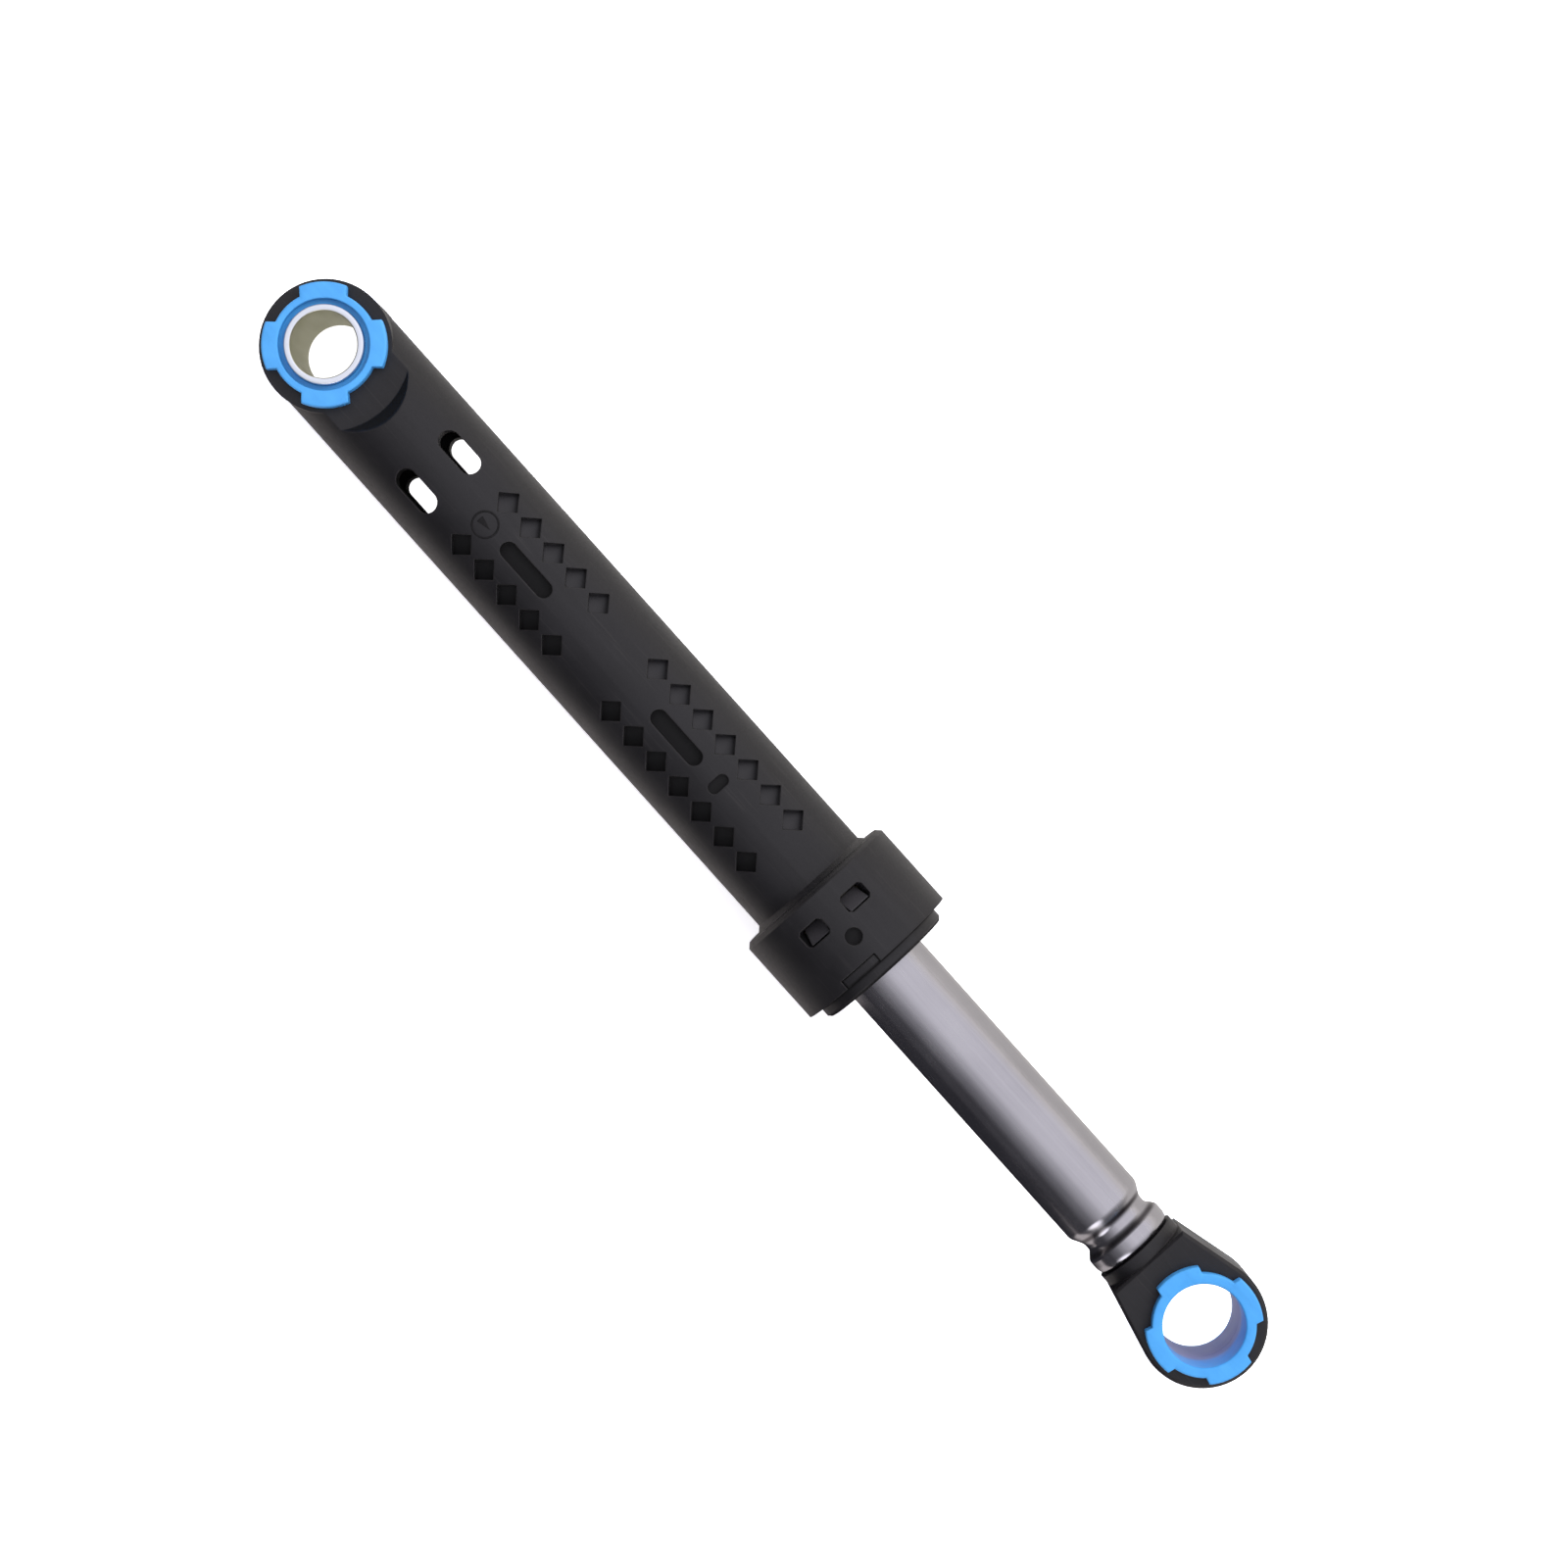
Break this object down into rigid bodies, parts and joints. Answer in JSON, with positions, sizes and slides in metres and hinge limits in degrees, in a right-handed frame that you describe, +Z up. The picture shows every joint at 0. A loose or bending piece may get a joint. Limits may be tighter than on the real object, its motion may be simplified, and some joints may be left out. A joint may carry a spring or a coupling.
{
  "type": "washing machine shock absorber",
  "caption": "Friction damper strut: moulded barrel with pocketed walls and a collar, steel rod tube sliding in it, and a flanged bush eye at each end.",
  "frame": {"origin": "centre of the upper eye's bore, halfway through the eye", "axes": "+X along the strut towards the lower eye, +Z up along the eye bores; the strut lies on its side as it would on a bench"},
  "size_m": [0.2912, 0.0364, 0.0364],
  "materials": {
    "black_plastic": "satin moulded black",
    "cap_plastic": "satin moulded black",
    "head_plastic": "satin moulded black",
    "foam": "greased open foam",
    "blue_plastic": "smooth light blue",
    "sleeve_steel": "bright turned ends",
    "tube_steel": "satin zinc grey"
  },
  "bodies": {
    "barrel": {"barrel": "black_plastic", "end_cap": "cap_plastic", "friction_lining": "foam", "upper_bush_front": "blue_plastic", "upper_bush_rear": "blue_plastic"},
    "sleeve": {"upper_sleeve": "sleeve_steel"},
    "tube": {"rod_tube": "tube_steel"},
    "head": {"rod_head": "head_plastic", "lower_bush_front": "blue_plastic", "lower_bush_rear": "blue_plastic"}
  },
  "joints": [
    {"name": "rod_slide", "type": "slide", "parent": "barrel", "child": "tube", "axis": [1, 0, 0], "range_m": [-0.066, 0.03]},
    {"name": "head_turn", "type": "hinge", "parent": "tube", "child": "head", "pos_m": [0.2383, 0, 0], "axis": [1, 0, 0], "continuous": true},
    {"name": "sleeve_turn", "type": "hinge", "parent": "barrel", "child": "sleeve", "pos_m": [0, 0, 0], "axis": [0, 0, 1], "continuous": true}
  ]
}
